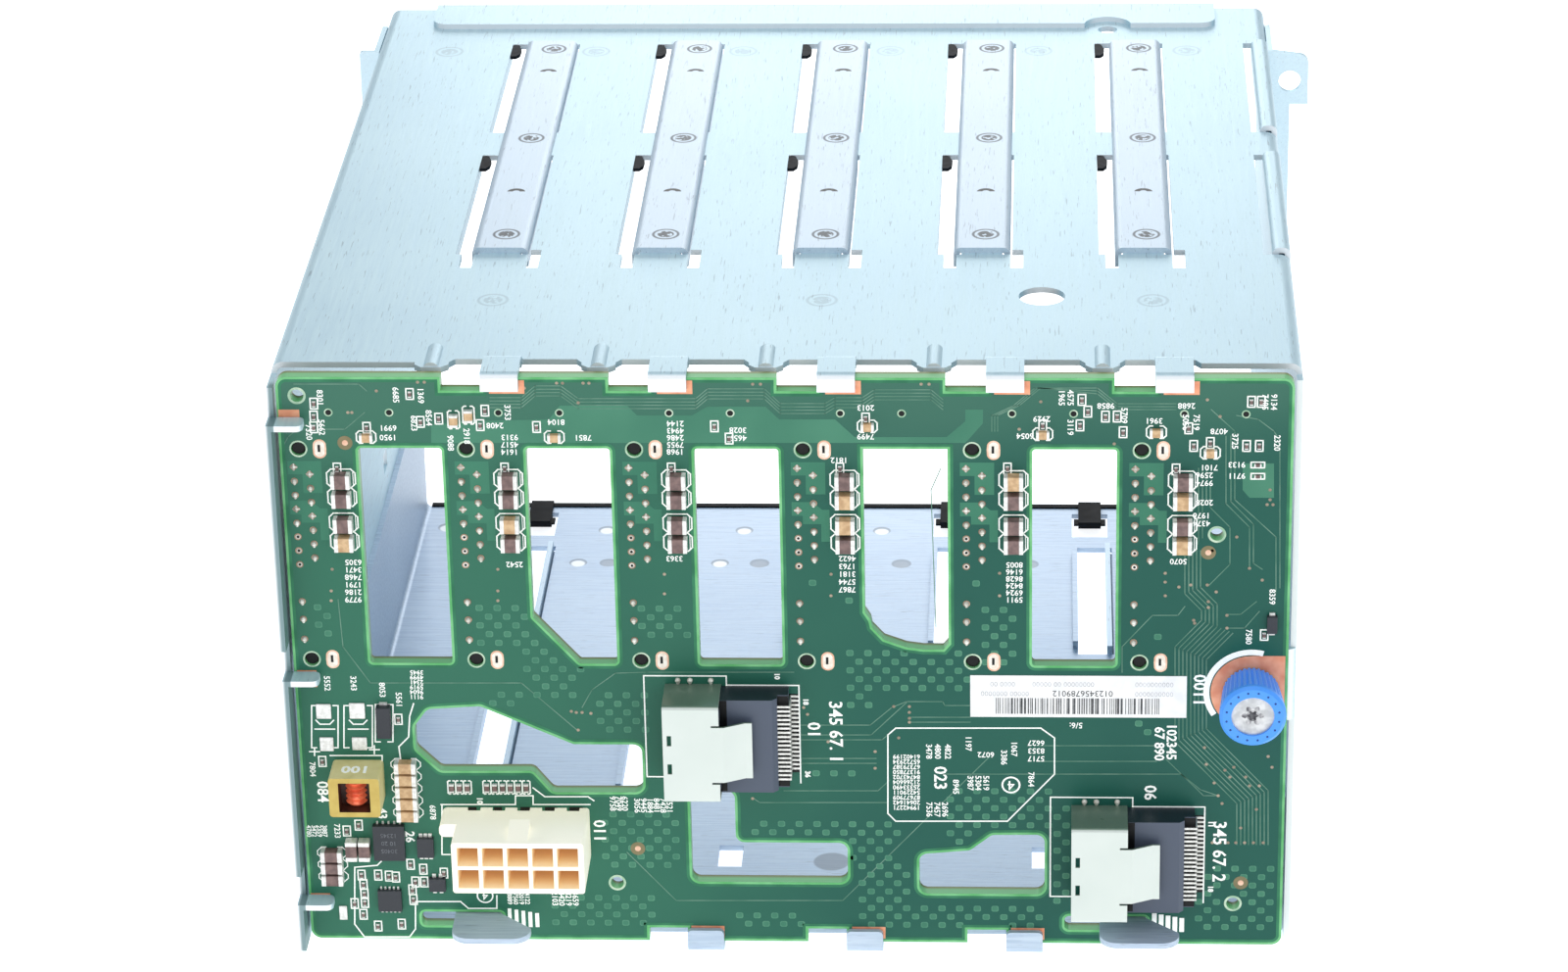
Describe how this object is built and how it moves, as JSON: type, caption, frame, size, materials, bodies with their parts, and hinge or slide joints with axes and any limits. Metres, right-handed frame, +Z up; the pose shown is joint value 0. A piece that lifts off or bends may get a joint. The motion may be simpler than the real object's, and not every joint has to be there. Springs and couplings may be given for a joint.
{
  "type": "hot-swap drive cage",
  "caption": "Folded steel cage for upright hot-swap drives, closed at the rear by a hooked-on backplane board with drive, cable and power connectors and a captive thumbscrew.",
  "frame": {"origin": "middle of the cage's depth, on the underside of the middle floor rail", "axes": "+X to the right seen from the board end, +Y from the board towards the open drive end, +Z up"},
  "size_m": [0.1804, 0.1885, 0.109],
  "materials": {
    "zinc_steel": "satin zinc-plated sheet",
    "green_board": "glossy green solder mask",
    "black_plastic": "matte moulded",
    "black_nylon": "matte moulded",
    "ivory_nylon": "satin moulded",
    "blue_plastic": "satin moulded",
    "nickel_steel": "bright nickel plate",
    "tinned_brass": "tin plate",
    "gold_ferrite": "lacquered core",
    "copper_wire": "enamelled copper",
    "ceramic_brown": "glazed ceramic with tinned ends",
    "black_epoxy": "matte moulding compound"
  },
  "bodies": {
    "cage": {"backplane_board": "green_board", "bay_capacitors": "ceramic_brown", "cage_cover": "zinc_steel", "control_chips": "black_epoxy", "diodes": "black_epoxy", "drive_connector_1": "black_nylon", "drive_connector_2": "black_nylon", "drive_connector_3": "black_nylon", "drive_connector_4": "black_nylon", "drive_connector_5": "black_nylon", "drive_connector_6": "black_nylon", "floor_guide_rail_1": "zinc_steel", "floor_guide_rail_2": "zinc_steel", "floor_guide_rail_3": "zinc_steel", "floor_guide_rail_4": "zinc_steel", "floor_guide_rail_5": "zinc_steel", "floor_tray": "zinc_steel", "front_trim_strip": "black_plastic", "inductor_coil": "copper_wire", "inductor_core": "gold_ferrite", "input_capacitors": "ceramic_brown", "left_bracket": "zinc_steel", "power_header_housing": "ivory_nylon", "power_header_pins": "tinned_brass", "right_ear_bracket": "zinc_steel", "sas_port_a_body": "black_nylon", "sas_port_a_contacts": "tinned_brass", "sas_port_a_shell": "nickel_steel", "sas_port_b_body": "black_nylon", "sas_port_b_contacts": "tinned_brass", "sas_port_b_shell": "nickel_steel", "thumbscrew_ferrule": "nickel_steel", "top_guide_rail_1": "zinc_steel", "top_guide_rail_2": "zinc_steel", "top_guide_rail_3": "zinc_steel", "top_guide_rail_4": "zinc_steel", "top_guide_rail_5": "zinc_steel"},
    "screw_carrier": {"retaining_washer": "black_plastic"},
    "thumbscrew": {"thumbscrew_knob": "blue_plastic", "thumbscrew_screw": "nickel_steel"}
  },
  "joints": [
    {"name": "screw_travel", "type": "slide", "parent": "cage", "child": "screw_carrier", "axis": [0, -1, 0], "range_m": [0, 0.0035]},
    {"name": "screw_turn", "type": "hinge", "parent": "screw_carrier", "child": "thumbscrew", "pos_m": [0.07273, -0.092, 0.05095], "axis": [0, -1, 0], "range_deg": [0, 1800]}
  ],
  "couplings": [
    {"joint": "screw_turn", "follows": "screw_travel", "rad_per_m": 8975.9}
  ]
}
